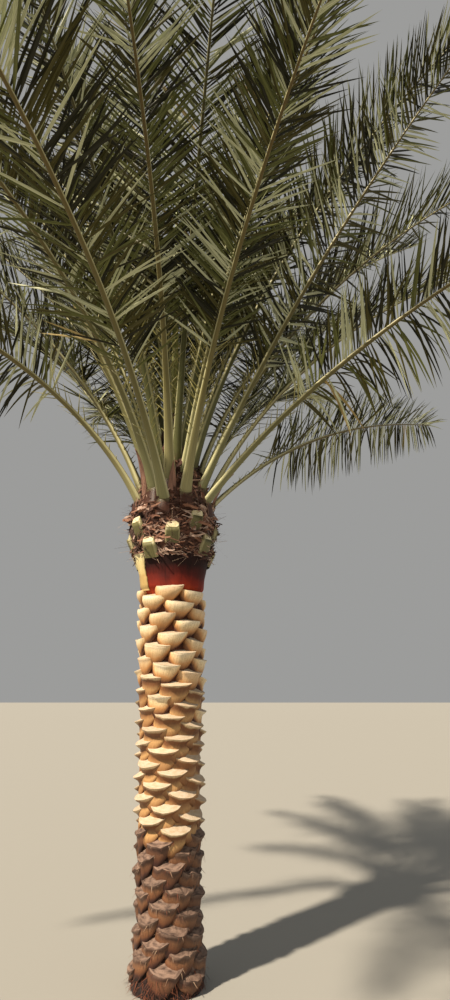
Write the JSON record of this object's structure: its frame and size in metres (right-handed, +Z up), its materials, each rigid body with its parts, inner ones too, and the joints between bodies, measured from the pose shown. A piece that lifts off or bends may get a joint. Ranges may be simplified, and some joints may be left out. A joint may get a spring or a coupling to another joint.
{
  "type": "date palm tree",
  "caption": "Rooted date palm: a straight trunk clothed in trimmed leaf bases, a fibrous head with cut stubs, and a full crown of arching feather-shaped fronds.",
  "frame": {"origin": "middle of the flat cut under the trunk, at ground level", "axes": "+Z up the trunk, -Y towards the side shown in the picture, +X to the right of it"},
  "size_m": [5.6856, 6.1293, 5.5993],
  "materials": {
    "trunk": "rough cut leaf bases and brown fibre",
    "frond": "waxy grey-green leaflets on olive ribs",
    "spear": "pale folded young leaf",
    "stub": "green stalk with a pale cut top",
    "spathe": "dry papery sheath",
    "torn_base": "pale torn leaf base"
  },
  "bodies": {
    "root": {"trunk": "trunk", "frond_01": "frond", "frond_02": "frond", "frond_03": "frond", "frond_04": "frond", "frond_05": "frond", "frond_06": "frond", "frond_07": "frond", "frond_08": "frond", "frond_09": "frond", "frond_10": "frond", "frond_11": "frond", "frond_12": "frond", "frond_13": "frond", "frond_14": "frond", "frond_15": "frond", "frond_16": "frond", "frond_17": "frond", "frond_18": "frond", "frond_19": "frond", "frond_20": "frond", "frond_21": "frond", "frond_22": "frond", "frond_23": "frond", "frond_24": "frond", "frond_25": "frond", "frond_26": "frond", "frond_27": "frond", "frond_28": "frond", "frond_29": "frond", "frond_30": "frond", "frond_31": "frond", "frond_32": "frond", "frond_33": "frond", "frond_34": "frond", "frond_35": "frond", "frond_36": "frond", "frond_37": "frond", "frond_38": "frond", "frond_39": "frond", "spear": "spear", "stub_01": "stub", "stub_02": "stub", "stub_03": "stub", "stub_04": "stub", "stub_05": "stub", "stub_06": "stub", "stub_07": "stub", "stub_08": "stub", "stub_09": "stub", "stub_10": "stub", "stub_11": "stub", "stub_12": "stub", "stub_13": "stub", "stub_14": "stub", "spathe_left": "spathe", "spathe_front": "spathe", "spathe_right": "spathe", "torn_base": "torn_base"}
  },
  "joints": []
}
